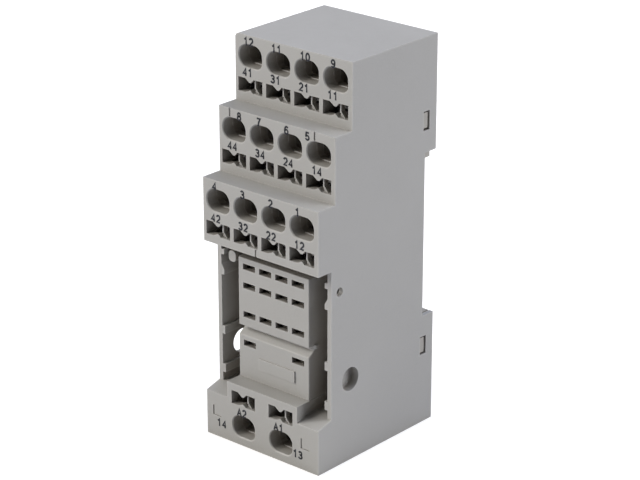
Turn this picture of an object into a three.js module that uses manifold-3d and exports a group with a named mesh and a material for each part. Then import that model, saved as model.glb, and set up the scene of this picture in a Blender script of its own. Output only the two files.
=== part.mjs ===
// Plug-in relay socket for a 35 mm top-hat rail: three stepped rows of four screwless
// terminals, a bay for a 14-pin relay, and two coil terminals at the foot.
// Millimetres, +Z up. The front faces -Y and the rail is behind, at +Y. The origin is
// under the middle of the box: middle of the width, middle of the depth, foot at Z = 0.
import * as THREE from 'three';
import { mergeVertices } from 'three/addons/utils/BufferGeometryUtils.js';
import Module from 'manifold-3d';

const wasm = await Module();
wasm.setup();

// ---- Driving dimensions -------------------------------------------------------------
// Places are given as (x, depth, z): depth is measured forward from the rear plane.
const WIDTH = 30.6;
const HEIGHT = 84.5;
const DEPTH = 36.2;
const REAR_Y = DEPTH / 2;
const SIDE_WALL = 1.0;
const FOOT_WALL = 1.0;
const TOP_WALL = 1.1;
const FRONT_WALL = 1.7;
const GAP = 0.3;
const REACH = 2;
const INNER_X = WIDTH / 2 - SIDE_WALL;

// Terminal rows: top edge and front depth of each step, and the step's own height.
const TIER_STEP = 13.85;
const ROWS = [
  { top: HEIGHT, front: 26.2, names: ['41', '31', '21', '11'], pinZ: 27.6 },
  { top: 70.55, front: 31.2, names: ['44', '34', '24', '14'], pinZ: 33.95 },
  { top: 56.7, front: DEPTH, names: ['42', '32', '22', '12'], pinZ: 38.05 },
];
const CELL_PITCH = 7.45;
const ROW_SHIFT = -0.17;
const ROW_X = [-1.5, -0.5, 0.5, 1.5].map((column) => column * CELL_PITCH + ROW_SHIFT);
const CELL_WALL = 0.8;
const ENTRY_BELOW_TOP = 4.35;
const TIER3_UNDER = 43.05;

// Coil terminals in the foot block, which are the row's mirror image in Z.
const COIL_X = [-5.12, 5.12];
const COIL_NAMES = ['a2', 'a1'];
const COIL_ENTRY_Z = 4.2;
const COIL_PIN_Z = 21.25;
const COIL_CELL = 6.6;

// Wire entry: rim, funnel and throat.
const RIM_WIDTH = 6.45;
const RIM_HEIGHT = 5.1;
const RIM_RADIUS = 2.3;
const FLARE = 0.25;
const FUNNEL_DEPTH = 2.9;
const THROAT_WIDTH = 5.2;
const THROAT_HEIGHT = 4.2;
const THROAT_RADIUS = 0.8;
const ENTRY_BLOCK = 5.0;

// Tool slot: a wide slot that is narrower in its middle. UPPER_TOOTH hangs from its top
// edge and LOWER_TOOTH stands on its bottom edge, as [x, distance from that edge]. A thin
// rib that widens into a web at its foot parts the slot.
const TOOL_DROP = 6.13;
const TOOL_WIDTH = 6.5;
const TOOL_HEIGHT = 2.95;
const UPPER_TOOTH = [[0.84, 0], [0.15, 0.8], [-0.31, 0.8], [-1.46, 0]];
const LOWER_TOOTH = [[-1.51, 0], [-0.61, 0.27], [-0.14, 0.62], [0.26, 0.37], [0.66, 0]];
const TOOL_RIB = { left: 0.75, right: 1.03, foot: 1.2, front: 0.5, back: 2.8 };
const WEB = { left: 0.42, right: 2.3, front: 0.95 };

// Clamp: W runs from the wire entry's middle towards the contact's wire plate, so it
// is up in the rows and down in the foot block.
const CHAMBER_TOP_W = 3.2;
const CHAMBER_LOW_W = -8.35;
const PLATE_W = 2.27;
const STRIP = 0.6;
const PLATE_HALF = 2.5;
const RISER_BACK = 13.6;
const RISER_WIDTH = 2.6;
const HINGE_BACK = 4.0;
const HINGE_W = -7.2;
const CURL_RADIUS = 0.65;
const SPRING_THICK = 0.4;
const SPRING_HALF = 2.6;
const LEG_SLIT = 0.5;
const LEG_LENGTH = 10.7;
const LEG_ANGLE = THREE.MathUtils.degToRad(53);
const SPRING_FLOOR_BACK = 12.6;

// Relay bay: side walls, the plug block and its pin slots.
const BAY_WALL_FRONT = 32.3;
const BAY_FLOOR = 10.9;
const FOOT_FRONT_TOP = 9.85;
const FOOT_BLOCK_BACK = 23.5;
const BUMP_HALF = 9.55;
const BUMP_TOP = 13.45;
const SIDE_POCKET_BACK = 20;
const PLUG_HALF = 9.5;
const PLUG_FRONT = 32.4;
const PLUG_BACK = 23.5;
const PLUG_TOP = 39.9;
const PLUG_BOTTOM = 13.75;
const PLUG_SKIN = 1.2;
const PLUG_WEB = 0.8;
const PIN_PITCH = 13.15 / 3;
const PIN_COLUMNS = [-1.5, -0.5, 0.5, 1.5];
const SLOT_WIDTH = 3.3;
const SLOT_HEIGHT = 1.3;
const SOCKET_WIDTH = 3.7;
const SOCKET_HEIGHT = 2.6;
const GROOVE_TOP = 25.0;
const RAMP_TOP = 24.0;
const RAMP_FOOT = 22.9;
const GROOVE_DEPTH = 1.55;
const FORK_WIDTH = 2.4;
const ROW_JOG = [51, 45];
const COIL_JOG = [14.5, 18];

// Lug in the left pocket, nub beside the right one, and the raised plate on the plug block.
const LUG = { x: -11.95, z: 39, width: 2, height: 2.4, radius: 0.8, back: 28, front: 31.6 };
const LUG_ARM = { reach: 0.9, back: 28.3, front: 30.5, low: 38.35, high: 39.25 };
const NUB = { reach: 0.5, back: 29.8, front: 30.8, low: 24.4, high: 25.3 };
const PLATE = { left: -3.9, right: 5.8, low: 16.4, high: 18.9, proud: 0.25 };

// Guide ribs on the bay walls, each [low, high at its tip, high at the wall], the holes in
// the side walls with the cup behind one of them, and the shallow marks on the faces.
const GUIDE_RIBS = [[39.15, 40.3, 40.3], [34.7, 35.8, 37.55], [21.5, 23.3, 23.3], [12.8, 14.7, 14.7]];
const GUIDE_PROUD = 0.75;
const GUIDE_LENGTH = 9;
const LARGE_HOLE = { depth: 26.45, z: 18.05, diameter: 5.1 };
const SMALL_HOLE = { depth: 29.75, z: 38.05, diameter: 1.9 };
const CUP = { radius: 3.4, depth: 1.8, skin: 0.8 };
const MARK_DEEP = 0.2;
const MARK_THIN = 0.3;
const ROW_MARKS = [
  { x: -12.4, low: 68.75, high: 71, row: 1 },
  { x: 10.0, low: 68.75, high: 71, row: 1 },
  { x: -1.2, low: 42, high: 44.65, row: 2 },
];
const CORNER_MARKS = { places: [-13.4, 10.75], low: 4.75, high: 6.9, length: 2.1 };

// Rail slot, rear cover, latch and spring.
const RAIL_LOW = 24.3;
const RAIL_HIGH = 60.1;
const RAIL_DEPTH = 3.5;
const COVER_SKIN = 1.5;
const COVER_HALF = INNER_X - GAP;
const COVER_TOP = HEIGHT - TOP_WALL - GAP;
const COVER_FOOT = FOOT_WALL + GAP;
const LIP_DROP = 2.0;
const LIP_THICK = 1.9;
const LIP_HALF = WIDTH / 2 - 1.6;
const WINDOWS = [[64.8, 68.9], [15.55, 19.65]];
const WINDOW_NEAR = 2.2;
const WINDOW_FAR = 4.1;
const CHANNEL_HALF = 6.2;
const CHANNEL_DEPTH = 3.3;
const T_SLOT_HALF = 7.4;
const T_SLOT_LIP = 1.1;
const LATCH_FOOT = 4.4;
const LATCH_NOSE = 26.3;
const NOSE_THICK = 2.0;
const SPRING_WINDOW_HALF = 1.6;
const SPRING_SEAT = 9.8;
const SPRING_WINDOW = [7.9, 19.8];
const TOOL_HOLE = { half: 2.6, low: 5.4, high: 6.9, skin: 0.8 };
const NOSE_RISE = 1.4;
const FLANGE_DROP = 4;
const COVER_RIB = { half: 0.45, low: 62, high: 82 };
const HOOK_OUT = 1.0;
const HOOK_ROOT = 1.5;
const HOOK_INSET = 0.4;
const COIL_RADIUS = 1.02;
const COIL_WIRE = 0.17;
const COIL_TURNS = 6;

// ---- Materials ----------------------------------------------------------------------
function material(color, roughness, metalness) {
  return new THREE.MeshStandardMaterial({ color, roughness, metalness });
}

const housingPlastic = () => material(0xb0b0ae, 0.55, 0);
const carrierPlastic = () => material(0xaeaeab, 0.55, 0);
const coverPlastic = () => material(0xb3afa6, 0.6, 0);
const latchPlastic = () => material(0x9a9c9c, 0.5, 0);
const tinnedCopper = () => material(0xc9c4b8, 0.35, 1);
const springSteel = () => material(0xb9bcc0, 0.28, 1);

// ---- Solids -------------------------------------------------------------------------
function toSolid(geometry) {
  const bare = geometry.clone();
  bare.deleteAttribute('normal');
  bare.deleteAttribute('uv');
  const merged = mergeVertices(bare, 1e-4);
  const vertProperties = Float32Array.from(merged.attributes.position.array);
  const triVerts = Uint32Array.from(merged.index.array);
  return new wasm.Manifold(new wasm.Mesh({ numProp: 3, vertProperties, triVerts }));
}

function toGeometry(solid) {
  const mesh = solid.getMesh();
  const geometry = new THREE.BufferGeometry();
  geometry.setAttribute('position', new THREE.BufferAttribute(mesh.vertProperties, 3));
  geometry.setIndex(new THREE.BufferAttribute(mesh.triVerts, 1));
  geometry.computeVertexNormals();
  return geometry;
}

function joined(solids) {
  return solids.reduce((whole, piece) => whole.add(piece));
}

function cut(solid, tools) {
  return solid.subtract(joined(tools));
}

function mesh(name, solid, look) {
  const node = new THREE.Mesh(toGeometry(solid), look);
  node.name = name;
  return node;
}

// A box between two x, two depths and two heights.
function block(x0, x1, depth0, depth1, z0, z1) {
  const geometry = new THREE.BoxGeometry(x1 - x0, depth1 - depth0, z1 - z0);
  geometry.translate((x0 + x1) / 2, REAR_Y - (depth0 + depth1) / 2, (z0 + z1) / 2);
  return toSolid(geometry);
}

function shapeOf(points) {
  return new THREE.Shape(points.map(([u, v]) => new THREE.Vector2(u, v)));
}

// A side outline of (depth, z) points, carried across from x0 to x1.
function across(points, x0, x1) {
  const shape = shapeOf(points.map(([depth, z]) => [REAR_Y - depth, z]));
  const geometry = new THREE.ExtrudeGeometry(shape, { depth: x1 - x0, bevelEnabled: false });
  const axes = new THREE.Matrix4().set(0, 0, 1, x0, 1, 0, 0, 0, 0, 1, 0, 0, 0, 0, 0, 1);
  return toSolid(geometry.applyMatrix4(axes));
}

// A front outline of (x, z) points or a ready shape, carried from depth0 forward to depth1.
function forward(outline, depth0, depth1, extra = {}) {
  const shape = Array.isArray(outline) ? shapeOf(outline) : outline;
  const settings = { depth: depth1 - depth0, bevelEnabled: false, curveSegments: 4, ...extra };
  const geometry = new THREE.ExtrudeGeometry(shape, settings);
  const axes = new THREE.Matrix4().set(1, 0, 0, 0, 0, 0, -1, REAR_Y - depth0, 0, 1, 0, 0, 0, 0, 0, 1);
  return toSolid(geometry.applyMatrix4(axes));
}

function roundedRectangle(x, z, width, height, radius) {
  const shape = new THREE.Shape();
  const right = x + width / 2 - radius;
  const left = x - width / 2 + radius;
  const high = z + height / 2 - radius;
  const low = z - height / 2 + radius;
  shape.absarc(right, high, radius, 0, Math.PI / 2);
  shape.absarc(left, high, radius, Math.PI / 2, Math.PI);
  shape.absarc(left, low, radius, Math.PI, 1.5 * Math.PI);
  shape.absarc(right, low, radius, 1.5 * Math.PI, 2 * Math.PI);
  return shape;
}

// A round bore along X.
function sideBore(x0, x1, { depth, z, diameter }) {
  const geometry = new THREE.CylinderGeometry(diameter / 2, diameter / 2, x1 - x0, 24);
  geometry.rotateZ(Math.PI / 2);
  geometry.translate((x0 + x1) / 2, REAR_Y - depth, z);
  return toSolid(geometry);
}

// ---- Terminals ----------------------------------------------------------------------
// One entry for each of the 14 terminals: middle of its wire entry, front depth, the
// direction of W, and the place of its relay pin.
function terminalList() {
  const list = [];
  for (const row of ROWS) {
    row.names.forEach((name, column) => {
      const pinX = PIN_COLUMNS[column] * PIN_PITCH;
      const z = row.top - ENTRY_BELOW_TOP;
      list.push({ name, x: ROW_X[column], z, up: 1, front: row.front, pinX, pinZ: row.pinZ });
    });
  }
  COIL_NAMES.forEach((name, side) => {
    const pinX = PIN_COLUMNS[side * 3] * PIN_PITCH;
    list.push({ name, x: COIL_X[side], z: COIL_ENTRY_Z, up: -1, front: DEPTH, pinX, pinZ: COIL_PIN_Z });
  });
  return list;
}

const terminals = terminalList();

// Height of W at a terminal, and a box across a terminal's own W range.
function atW(terminal, w) {
  return terminal.z + terminal.up * w;
}

function terminalBlock(terminal, half, depth0, depth1, w0, w1) {
  const za = atW(terminal, w0);
  const zb = atW(terminal, w1);
  const { x } = terminal;
  return block(x - half, x + half, depth0, depth1, Math.min(za, zb), Math.max(za, zb));
}

function wireEntryCut({ x, z, front }) {
  const funnelWidth = RIM_WIDTH - 2 * FLARE;
  const funnelHeight = RIM_HEIGHT - 2 * FLARE;
  const mouth = roundedRectangle(x, z, funnelWidth, funnelHeight, RIM_RADIUS - FLARE);
  const taper = { bevelEnabled: true, bevelThickness: FUNNEL_DEPTH, bevelSize: FLARE, bevelSegments: 1 };
  const funnel = forward(mouth, front, front + REACH, taper);
  const throat = roundedRectangle(x, z, THROAT_WIDTH, THROAT_HEIGHT, THROAT_RADIUS);
  return funnel.add(forward(throat, front - ENTRY_BLOCK - REACH, front + REACH));
}

// Heights of a tool slot's bottom and top edges.
function toolSlotEdges({ z, up }) {
  const middle = z - up * TOOL_DROP;
  return { low: middle - TOOL_HEIGHT / 2, high: middle + TOOL_HEIGHT / 2 };
}

function toolSlotCut(terminal) {
  const { x, front } = terminal;
  const { low, high } = toolSlotEdges(terminal);
  const half = TOOL_WIDTH / 2;
  const outline = [
    [x - half, low], ...LOWER_TOOTH.map(([u, rise]) => [x + u, low + rise]), [x + half, low],
    [x + half, high], ...UPPER_TOOTH.map(([u, drop]) => [x + u, high - drop]), [x - half, high],
  ];
  return forward(outline, front - FRONT_WALL - REACH, front + REACH);
}

// The rib down to its foot, and the web that it widens into.
function toolRib(terminal) {
  const { x, front } = terminal;
  const { low, high } = toolSlotEdges(terminal);
  const left = x + TOOL_RIB.left;
  const right = x + TOOL_RIB.right;
  const back = front - TOOL_RIB.back;
  const foot = low + TOOL_RIB.foot;
  const outline = [[x + WEB.left, low - GAP], [x + WEB.right, low - GAP], [right, foot], [left, foot]];
  const rib = block(left, right, back, front - TOOL_RIB.front, foot - GAP, high + GAP);
  return rib.add(forward(outline, back, front - WEB.front));
}

// ---- Housing ------------------------------------------------------------------------
function housingOutline() {
  const points = [[0, 0], [0, HEIGHT]];
  ROWS.forEach((row, index) => {
    const under = index < ROWS.length - 1 ? ROWS[index + 1].top : TIER3_UNDER;
    points.push([row.front, row.top], [row.front, under]);
  });
  points.push([BAY_WALL_FRONT, TIER3_UNDER], [BAY_WALL_FRONT, BAY_FLOOR]);
  points.push([DEPTH, FOOT_FRONT_TOP], [DEPTH, 0]);
  return points;
}

// The hollow behind the terminal cells, open at the back, with the relay bay in front.
function hollowOutline() {
  const points = [[-REACH, FOOT_WALL], [-REACH, HEIGHT - TOP_WALL]];
  for (const row of ROWS) {
    const back = row.front - RISER_BACK + STRIP + GAP;
    points.push([back, row.top - TOP_WALL]);
    points.push([back, row.top - TIER_STEP - TOP_WALL]);
  }
  points.pop();
  points.push([ROWS[2].front - RISER_BACK + STRIP + GAP, TIER3_UNDER]);
  points.push([DEPTH + REACH, TIER3_UNDER], [DEPTH + REACH, FOOT_FRONT_TOP]);
  points.push([DEPTH, FOOT_FRONT_TOP], [BAY_WALL_FRONT, BAY_FLOOR]);
  points.push([FOOT_BLOCK_BACK, BAY_FLOOR], [FOOT_BLOCK_BACK, FOOT_WALL]);
  return points;
}

// The cell that holds one clamp, with the block around its wire entry left standing.
function cellCut(terminal) {
  const { x, front, up } = terminal;
  const half = up > 0 ? (CELL_PITCH - CELL_WALL) / 2 : COIL_CELL / 2;
  const x0 = Math.max(x - half, -INNER_X);
  const x1 = Math.min(x + half, INNER_X);
  const back = front - RISER_BACK - REACH / 2;
  const heights = [CHAMBER_LOW_W, -RIM_HEIGHT / 2 - GAP, CHAMBER_TOP_W].map((w) => atW(terminal, w));
  const low = [Math.min(heights[0], heights[1]), Math.max(heights[0], heights[1])];
  const high = [Math.min(heights[1], heights[2]), Math.max(heights[1], heights[2])];
  const lowCut = block(x0, x1, back, front - FRONT_WALL, low[0], low[1]);
  return lowCut.add(block(x0, x1, back, front - ENTRY_BLOCK, high[0], high[1]));
}

function railSlotCut() {
  return block(-WIDTH, WIDTH, -REACH, RAIL_DEPTH, RAIL_LOW, RAIL_HIGH);
}

function sideWallCuts() {
  const tools = [];
  for (const side of [-1, 1]) {
    const x0 = Math.min(side * (INNER_X - REACH), side * WIDTH);
    const x1 = Math.max(side * (INNER_X - REACH), side * WIDTH);
    for (const [low, high] of WINDOWS) {
      tools.push(block(x0, x1, WINDOW_NEAR, WINDOW_FAR, low, high));
    }
  }
  const cupFloor = WIDTH / 2 - CUP.depth;
  tools.push(sideBore(-WIDTH, REACH - INNER_X, LARGE_HOLE), sideBore(cupFloor, WIDTH, LARGE_HOLE));
  tools.push(sideBore(cupFloor, INNER_X, { ...LARGE_HOLE, diameter: 2 * CUP.radius }));
  tools.push(sideBore(INNER_X - REACH, WIDTH, SMALL_HOLE));
  return tools;
}

// The right wall's large hole is blind: a round cup stands behind it.
function sideCup() {
  const diameter = 2 * (CUP.radius + CUP.skin);
  return sideBore(WIDTH / 2 - CUP.depth - CUP.skin, INNER_X + GAP, { ...LARGE_HOLE, diameter });
}

// Four low ribs on the inside of each bay wall, which guide the relay's case.
function guideRibs() {
  const ribs = [];
  for (const side of [-1, 1]) {
    for (const [low, high, root] of GUIDE_RIBS) {
      const wall = side * (INNER_X + GAP);
      const tip = side * (INNER_X - GUIDE_PROUD);
      const outline = [[wall, low], [tip, low], [tip, high], [wall, root]];
      ribs.push(forward(outline, BAY_WALL_FRONT - GUIDE_LENGTH, BAY_WALL_FRONT));
    }
  }
  return ribs;
}

// Shallow witness grooves on the faces of the rows, and two corner marks at the foot.
function faceMarks() {
  const upright = (x, low, high, front) => {
    return block(x - MARK_THIN / 2, x + MARK_THIN / 2, front - MARK_DEEP, front + REACH, low, high);
  };
  const marks = ROW_MARKS.map(({ x, low, high, row }) => upright(x, low, high, ROWS[row].front));
  const { places, low, high, length } = CORNER_MARKS;
  const half = MARK_THIN / 2;
  for (const x of places) {
    marks.push(upright(x, low, high, DEPTH));
    marks.push(block(x - half, x + length, DEPTH - MARK_DEEP, DEPTH + REACH, low - half, low + half));
  }
  return marks;
}

function housing() {
  const outer = across(housingOutline(), -WIDTH / 2, WIDTH / 2);
  const hollow = across(hollowOutline(), -INNER_X, INNER_X);
  const footBlock = block(-BUMP_HALF, BUMP_HALF, FOOT_BLOCK_BACK, DEPTH, FOOT_WALL / 2, BUMP_TOP);
  const shell = joined([outer.subtract(hollow), footBlock, sideCup(), ...guideRibs()]);
  const sidePocket = (side) => {
    const near = side * (BUMP_HALF + GAP);
    const far = side * INNER_X;
    const depth1 = DEPTH - FRONT_WALL;
    const high = FOOT_FRONT_TOP - FOOT_WALL;
    return block(Math.min(near, far), Math.max(near, far), SIDE_POCKET_BACK, depth1, FOOT_WALL, high);
  };
  const latchNotch = block(-CHANNEL_HALF, CHANNEL_HALF, -REACH, CHANNEL_DEPTH + GAP, -REACH, FOOT_WALL * 2);
  const tools = [railSlotCut(), latchNotch, sidePocket(-1), sidePocket(1), ...sideWallCuts(), ...faceMarks()];
  for (const terminal of terminals) {
    tools.push(cellCut(terminal), wireEntryCut(terminal), toolSlotCut(terminal));
  }
  return joined([cut(shell, tools), ...terminals.map(toolRib)]);
}

// ---- Contact carrier: the plug block with its pin slots -------------------------------
function carrierOutline() {
  const groove = PLUG_FRONT - GROOVE_DEPTH;
  return [
    [PLUG_BACK, PLUG_BOTTOM], [PLUG_BACK, PLUG_TOP], [PLUG_FRONT, PLUG_TOP],
    [PLUG_FRONT, GROOVE_TOP], [groove, GROOVE_TOP], [groove, RAMP_TOP],
    [PLUG_FRONT, RAMP_FOOT], [PLUG_FRONT, PLUG_BOTTOM],
  ];
}

function carrier() {
  const body = across(carrierOutline(), -PLUG_HALF, PLUG_HALF);
  const webs = [-1, 1].map((side) => {
    const x0 = Math.min(side * PLUG_HALF, side * (PLUG_HALF - PLUG_WEB));
    const webBack = RAIL_DEPTH + COVER_SKIN + GAP;
    return block(x0, x0 + PLUG_WEB, webBack, PLUG_BACK + 1, PLUG_BOTTOM, PLUG_TOP);
  });
  const lugOutline = roundedRectangle(LUG.x, LUG.z, LUG.width, LUG.height, LUG.radius);
  const lug = forward(lugOutline, LUG.back, LUG.front);
  const armEnd = -PLUG_HALF + LUG_ARM.reach;
  const lugArm = block(LUG.x, armEnd, LUG_ARM.back, LUG_ARM.front, LUG_ARM.low, LUG_ARM.high);
  const nub = block(PLUG_HALF - 1, PLUG_HALF + NUB.reach, NUB.back, NUB.front, NUB.low, NUB.high);
  const plateFront = PLUG_FRONT + PLATE.proud;
  const plate = block(PLATE.left, PLATE.right, PLUG_FRONT - 1, plateFront, PLATE.low, PLATE.high);
  const whole = joined([body, ...webs, lugArm, lug, nub, plate]);
  const tools = [];
  for (const { pinX, pinZ } of terminals) {
    const cell = [pinX - SOCKET_WIDTH / 2, pinX + SOCKET_WIDTH / 2];
    const slot = [pinX - SLOT_WIDTH / 2, pinX + SLOT_WIDTH / 2];
    const halfCell = SOCKET_HEIGHT / 2;
    const halfSlot = SLOT_HEIGHT / 2;
    tools.push(block(...cell, PLUG_BACK - 1, PLUG_FRONT - PLUG_SKIN, pinZ - halfCell, pinZ + halfCell));
    tools.push(block(...slot, PLUG_BACK, PLUG_FRONT + 1, pinZ - halfSlot, pinZ + halfSlot));
  }
  return cut(whole, tools);
}

// ---- Contacts: wire plate, riser with its sideways jog, and the pin fork ---------------
function riser(terminal) {
  const { x, pinX, pinZ, up } = terminal;
  const half = RISER_WIDTH / 2;
  const start = atW(terminal, PLATE_W + STRIP);
  const [jogStart, jogEnd] = up > 0 ? ROW_JOG : COIL_JOG;
  const end = pinZ - up * STRIP / 2;
  const outline = [
    [x - half, start], [x + half, start], [x + half, jogStart], [pinX + half, jogEnd],
    [pinX + half, end], [pinX - half, end], [pinX - half, jogEnd], [x - half, jogStart],
  ];
  const back = terminal.front - RISER_BACK;
  return forward(outline, back, back + STRIP);
}

function pinFork({ front, pinX, pinZ }) {
  const back = front - RISER_BACK;
  const throat = 26.6;
  const tip = PLUG_FRONT - PLUG_SKIN - GAP;
  const grip = 0.28;
  const leaf = 0.4;
  const bow = 0.85;
  const outline = [
    [back, pinZ - STRIP / 2], [throat - 0.8, pinZ - STRIP / 2], [throat - 0.3, pinZ - bow],
    [throat + 0.7, pinZ - bow], [tip - 1.2, pinZ - grip - leaf], [tip, pinZ - bow],
    [tip, pinZ - bow + leaf], [tip - 1.2, pinZ - grip], [throat + 0.7, pinZ - bow + leaf],
    [throat + 0.7, pinZ + bow - leaf], [tip - 1.2, pinZ + grip], [tip, pinZ + bow - leaf],
    [tip, pinZ + bow], [tip - 1.2, pinZ + grip + leaf], [throat + 0.7, pinZ + bow],
    [throat - 0.3, pinZ + bow], [throat - 0.8, pinZ + STRIP / 2], [back, pinZ + STRIP / 2],
  ];
  return across(outline, pinX - FORK_WIDTH / 2, pinX + FORK_WIDTH / 2);
}

function contact(terminal) {
  const back = terminal.front - RISER_BACK;
  const front = terminal.front - ENTRY_BLOCK - GAP;
  const plate = terminalBlock(terminal, PLATE_HALF, back, front, PLATE_W, PLATE_W + STRIP);
  return joined([plate, riser(terminal), pinFork(terminal)]);
}

// ---- Clamp springs: the curled strip stays, its long leg swings ------------------------
// Points of an arc about the hinge, in (depth, W) from the hinge, angle 0 facing forward.
function arc(radius, from, to, steps) {
  return Array.from({ length: steps + 1 }, (_, index) => {
    const angle = THREE.MathUtils.degToRad(from + (to - from) * index / steps);
    return [radius * Math.cos(angle), radius * Math.sin(angle)];
  });
}

function aboutHinge(terminal, points) {
  return points.map(([forwards, w]) => [terminal.front - HINGE_BACK + forwards, atW(terminal, HINGE_W + w)]);
}

function clampSpring(terminal) {
  const outerRadius = CURL_RADIUS + SPRING_THICK / 2;
  const innerRadius = CURL_RADIUS - SPRING_THICK / 2;
  const tail = HINGE_BACK - SPRING_FLOOR_BACK;
  const points = [
    [tail, -outerRadius], ...arc(outerRadius, -90, 5, 5),
    ...arc(innerRadius, 5, -90, 5), [tail, -innerRadius],
  ];
  return across(aboutHinge(terminal, points), terminal.x - SPRING_HALF, terminal.x + SPRING_HALF);
}

function clampLeg(terminal) {
  const direction = new THREE.Vector2(-Math.cos(LEG_ANGLE), Math.sin(LEG_ANGLE));
  const normal = new THREE.Vector2(Math.sin(LEG_ANGLE), Math.cos(LEG_ANGLE));
  const corner = (along, out) => {
    const point = normal.clone().multiplyScalar(CURL_RADIUS + out);
    return point.addScaledVector(direction, along).toArray();
  };
  const half = SPRING_THICK / 2;
  const profile = [
    corner(0, half), corner(0, -half), corner(LEG_LENGTH - half, -half), corner(LEG_LENGTH, half),
  ];
  const leg = across(aboutHinge(terminal, profile), terminal.x - SPRING_HALF, terminal.x + SPRING_HALF);
  const slitStart = 2.5;
  const slit = [
    corner(slitStart, 1), corner(slitStart, -1), corner(LEG_LENGTH + 1, -1), corner(LEG_LENGTH + 1, 1),
  ];
  const split = across(aboutHinge(terminal, slit), terminal.x - LEG_SLIT / 2, terminal.x + LEG_SLIT / 2);
  return leg.subtract(split);
}

// ---- Rear cover with the fixed rail hook, and the sliding latch ------------------------
function coverOutline() {
  const floor = RAIL_DEPTH + COVER_SKIN;
  return [
    [0, COVER_FOOT], [0, RAIL_LOW], [RAIL_DEPTH, RAIL_LOW], [RAIL_DEPTH, RAIL_HIGH], [LIP_THICK, RAIL_HIGH],
    [0, RAIL_HIGH], [0, COVER_TOP], [COVER_SKIN, COVER_TOP], [COVER_SKIN, RAIL_HIGH + COVER_SKIN],
    [floor, RAIL_HIGH + COVER_SKIN], [floor, COVER_FOOT],
  ];
}

function snapHooks() {
  const hooks = [];
  for (const side of [-1, 1]) {
    for (const [low, high] of WINDOWS) {
      const root = side * (COVER_HALF - HOOK_ROOT);
      const tip = side * (COVER_HALF + HOOK_OUT);
      const foot = side * COVER_HALF;
      const depth1 = WINDOW_FAR - GAP;
      const z0 = low + HOOK_INSET;
      const z1 = high - HOOK_INSET;
      hooks.push(block(Math.min(root, tip), Math.max(root, tip), WINDOW_NEAR + GAP, depth1, z0, z1));
      hooks.push(block(Math.min(root, foot), Math.max(root, foot), COVER_SKIN / 2, depth1, z0, z1));
    }
  }
  return hooks;
}

function rearCover() {
  const plate = across(coverOutline(), -COVER_HALF, COVER_HALF);
  const lip = block(-LIP_HALF, LIP_HALF, 0, LIP_THICK, RAIL_HIGH - LIP_DROP, RAIL_HIGH + 0.5);
  const ribBack = ROWS[0].front - RISER_BACK - GAP;
  const { half, low, high } = COVER_RIB;
  const ribs = [-CELL_PITCH, 0, CELL_PITCH].map((x) => {
    return block(x - half, x + half, COVER_SKIN / 2, ribBack, low, high);
  });
  const channel = block(-CHANNEL_HALF, CHANNEL_HALF, -1, CHANNEL_DEPTH, 0, RAIL_LOW + 1);
  const undercut = block(-T_SLOT_HALF, T_SLOT_HALF, T_SLOT_LIP, CHANNEL_DEPTH, 0, RAIL_LOW - T_SLOT_LIP);
  const body = cut(joined([plate, lip, ...ribs, ...snapHooks()]), [channel, undercut]);
  const seatHalf = SPRING_WINDOW_HALF - GAP;
  const seat = block(-seatHalf, seatHalf, 1, CHANNEL_DEPTH + 1, SPRING_WINDOW[0] + GAP, SPRING_SEAT);
  return body.add(seat);
}

function railLatch() {
  const back = GAP;
  const front = CHANNEL_DEPTH - GAP;
  const bodyTop = RAIL_LOW - 0.4;
  const outline = [
    [back, LATCH_FOOT], [back, LATCH_NOSE - NOSE_RISE], [NOSE_THICK - GAP, LATCH_NOSE],
    [NOSE_THICK, LATCH_NOSE], [NOSE_THICK, bodyTop], [front, bodyTop], [front, LATCH_FOOT],
  ];
  const body = across(outline, -CHANNEL_HALF + GAP, CHANNEL_HALF - GAP);
  const flangeTop = RAIL_LOW - T_SLOT_LIP - FLANGE_DROP;
  const flange = block(-T_SLOT_HALF + GAP, T_SLOT_HALF - GAP, T_SLOT_LIP + GAP, front, LATCH_FOOT, flangeTop);
  const window = block(-SPRING_WINDOW_HALF, SPRING_WINDOW_HALF, -REACH, front + REACH, ...SPRING_WINDOW);
  const { half, low, high, skin } = TOOL_HOLE;
  const toolHole = block(-half, half, -REACH, front - skin, low, high);
  return cut(body.add(flange), [window, toolHole]);
}

function latchSpring() {
  const low = SPRING_SEAT + GAP + COIL_WIRE;
  const high = SPRING_WINDOW[1] - GAP - COIL_WIRE;
  const depth = (GAP + CHANNEL_DEPTH) / 2;
  const stepsPerTurn = 10;
  const steps = COIL_TURNS * stepsPerTurn;
  const points = Array.from({ length: steps + 1 }, (_, index) => {
    const turn = 2 * Math.PI * index / stepsPerTurn;
    const z = low + (high - low) * index / steps;
    return new THREE.Vector3(COIL_RADIUS * Math.cos(turn), REAR_Y - depth + COIL_RADIUS * Math.sin(turn), z);
  });
  const section = new THREE.Shape();
  section.absarc(0, 0, COIL_WIRE, 0, 2 * Math.PI);
  const path = new THREE.CatmullRomCurve3(points);
  const settings = { steps, extrudePath: path, curveSegments: 3, bevelEnabled: false };
  return toSolid(new THREE.ExtrudeGeometry(section, settings));
}

// ---- The assembly -------------------------------------------------------------------
const socket = new THREE.Group();
socket.add(mesh('housing', housing(), housingPlastic()));
socket.add(mesh('contact_carrier', carrier(), carrierPlastic()));
socket.add(mesh('rear_cover', rearCover(), coverPlastic()));
socket.add(mesh('rail_latch', railLatch(), latchPlastic()));
socket.add(mesh('latch_spring', latchSpring(), springSteel()));
for (const terminal of terminals) {
  socket.add(mesh(`contact_${terminal.name}`, contact(terminal), tinnedCopper()));
  socket.add(mesh(`clamp_spring_${terminal.name}`, clampSpring(terminal), springSteel()));
  socket.add(mesh(`clamp_leg_${terminal.name}`, clampLeg(terminal), springSteel()));
}

export default socket;
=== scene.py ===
import math

import bmesh
import bpy
from mathutils import Matrix, Vector


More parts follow.
